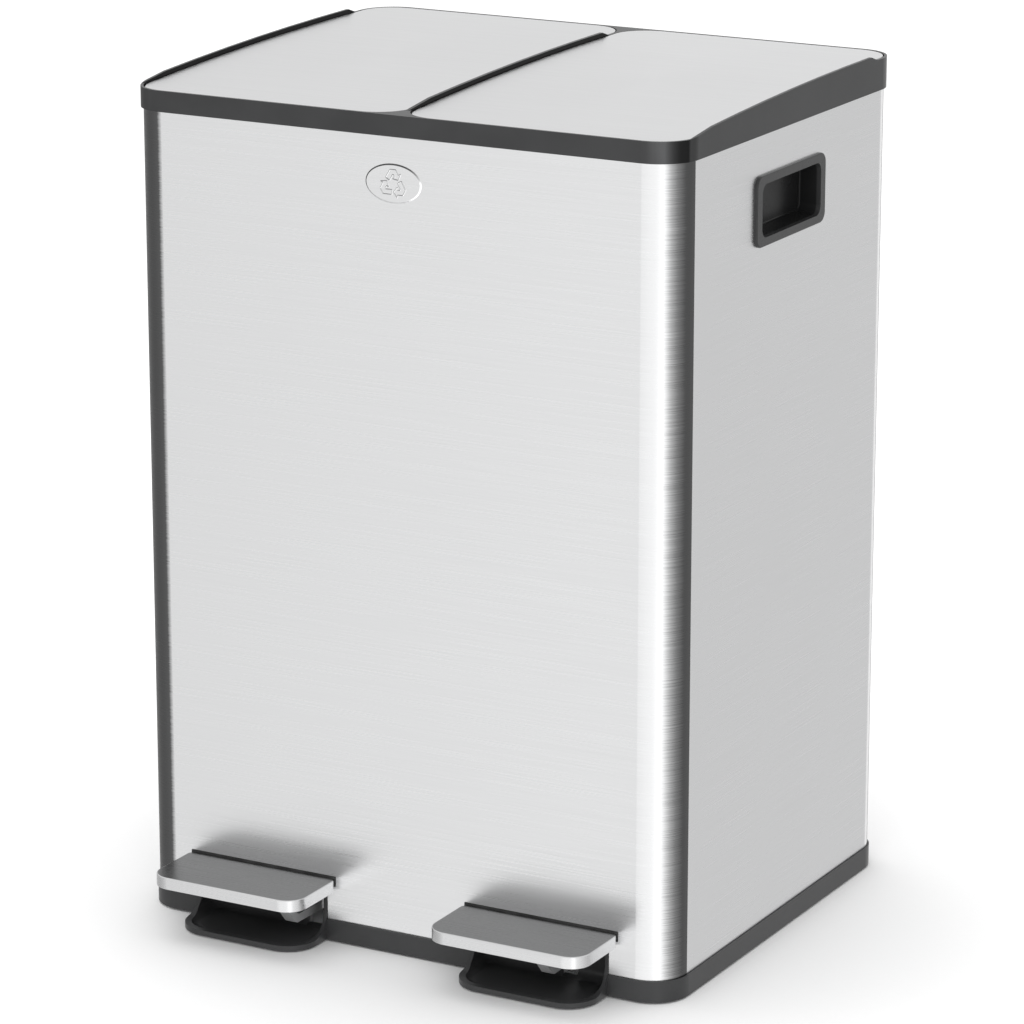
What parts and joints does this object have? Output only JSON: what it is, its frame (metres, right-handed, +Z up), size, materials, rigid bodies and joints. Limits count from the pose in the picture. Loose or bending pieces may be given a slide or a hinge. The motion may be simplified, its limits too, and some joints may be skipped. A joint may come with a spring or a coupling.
{
  "type": "double pedal waste bin",
  "caption": "Rectangular brushed steel recycling bin with side-by-side hinged lids, each worked by its own pedal, and lift-out buckets with bail handles.",
  "frame": {"origin": "middle of the whole footprint, pedals included, on the floor plane under the rubber feet", "axes": "+Z up; the front with the pedals looks along -Y; +X to the right of someone facing the front"},
  "size_m": [0.449, 0.4196, 0.6379],
  "materials": {
    "steel": "brushed, fine level grain",
    "steel_lid": "brushed, grain from side to side",
    "steel_pedal": "brushed, with turned-down polished edge",
    "zinc_steel": "zinc plated, semi-bright",
    "lever_steel": "bright plated pressing",
    "black_plastic": "fine satin texture",
    "grip_plastic": "satin",
    "guide_plastic": "satin, low friction",
    "bucket_plastic": "satin, faintly textured",
    "foot_rubber": "matt"
  },
  "bodies": {
    "body": {"body_shell": "steel", "base_tray": "black_plastic", "bucket_deck": "black_plastic", "rubber_feet": "foot_rubber", "top_collar": "black_plastic", "lid_bumpers": "foot_rubber", "hinge_pins_left": "zinc_steel", "pivot_pin_left": "zinc_steel", "rod_guides_left": "guide_plastic", "side_grip_left": "grip_plastic", "hinge_pins_right": "zinc_steel", "pivot_pin_right": "zinc_steel", "rod_guides_right": "guide_plastic", "side_grip_right": "grip_plastic"},
    "lid_left": {"lid_panel_left": "steel_lid", "lid_frame_left": "black_plastic"},
    "pedal_left": {"pedal_plate_left": "steel_pedal", "pedal_core_left": "black_plastic", "pedal_screw_left": "zinc_steel", "lever_left": "lever_steel"},
    "rod_left": {"lift_rod_left": "zinc_steel", "rod_head_left": "guide_plastic"},
    "bucket_body_left": {"bucket_left": "bucket_plastic"},
    "bail_body_left": {"bail_left": "zinc_steel", "bail_grip_left": "grip_plastic"},
    "lid_right": {"lid_panel_right": "steel_lid", "lid_frame_right": "black_plastic"},
    "pedal_right": {"pedal_plate_right": "steel_pedal", "pedal_core_right": "black_plastic", "pedal_screw_right": "zinc_steel", "lever_right": "lever_steel"},
    "rod_right": {"lift_rod_right": "zinc_steel", "rod_head_right": "guide_plastic"},
    "bucket_body_right": {"bucket_right": "bucket_plastic"},
    "bail_body_right": {"bail_right": "zinc_steel", "bail_grip_right": "grip_plastic"}
  },
  "joints": [
    {"name": "lid_hinge_left", "type": "hinge", "parent": "body", "child": "lid_left", "pos_m": [0, 0.1783, 0.62953], "axis": [-1, 0, 0], "range_deg": [0, 78]},
    {"name": "pedal_pivot_left", "type": "hinge", "parent": "body", "child": "pedal_left", "pos_m": [0, -0.0517, 0.02], "axis": [1, 0, 0], "range_deg": [0, 6.45]},
    {"name": "rod_slide_left", "type": "slide", "parent": "body", "child": "rod_left", "axis": [0, 0, 1], "range_m": [0, 0.02393]},
    {"name": "bucket_lift_left", "type": "slide", "parent": "body", "child": "bucket_body_left", "axis": [0, 0, 1], "range_m": [0, 0.01]},
    {"name": "bail_swing_left", "type": "hinge", "parent": "bucket_body_left", "child": "bail_body_left", "pos_m": [0, 0.0048, 0.58255], "axis": [-1, 0, 0], "range_deg": [0, 6]},
    {"name": "lid_hinge_right", "type": "hinge", "parent": "body", "child": "lid_right", "pos_m": [0, 0.1783, 0.62953], "axis": [-1, 0, 0], "range_deg": [0, 78]},
    {"name": "pedal_pivot_right", "type": "hinge", "parent": "body", "child": "pedal_right", "pos_m": [0, -0.0517, 0.02], "axis": [1, 0, 0], "range_deg": [0, 6.45]},
    {"name": "rod_slide_right", "type": "slide", "parent": "body", "child": "rod_right", "axis": [0, 0, 1], "range_m": [0, 0.02393]},
    {"name": "bucket_lift_right", "type": "slide", "parent": "body", "child": "bucket_body_right", "axis": [0, 0, 1], "range_m": [0, 0.01]},
    {"name": "bail_swing_right", "type": "hinge", "parent": "bucket_body_right", "child": "bail_body_right", "pos_m": [0, 0.0048, 0.58255], "axis": [-1, 0, 0], "range_deg": [0, 6]}
  ],
  "couplings": [
    {"joint": "pedal_pivot_left", "follows": "lid_hinge_left", "ratio": 0.082593},
    {"joint": "rod_slide_left", "follows": "lid_hinge_left", "m_per_rad": 0.017566},
    {"joint": "pedal_pivot_right", "follows": "lid_hinge_right", "ratio": 0.082593},
    {"joint": "rod_slide_right", "follows": "lid_hinge_right", "m_per_rad": 0.017566}
  ]
}
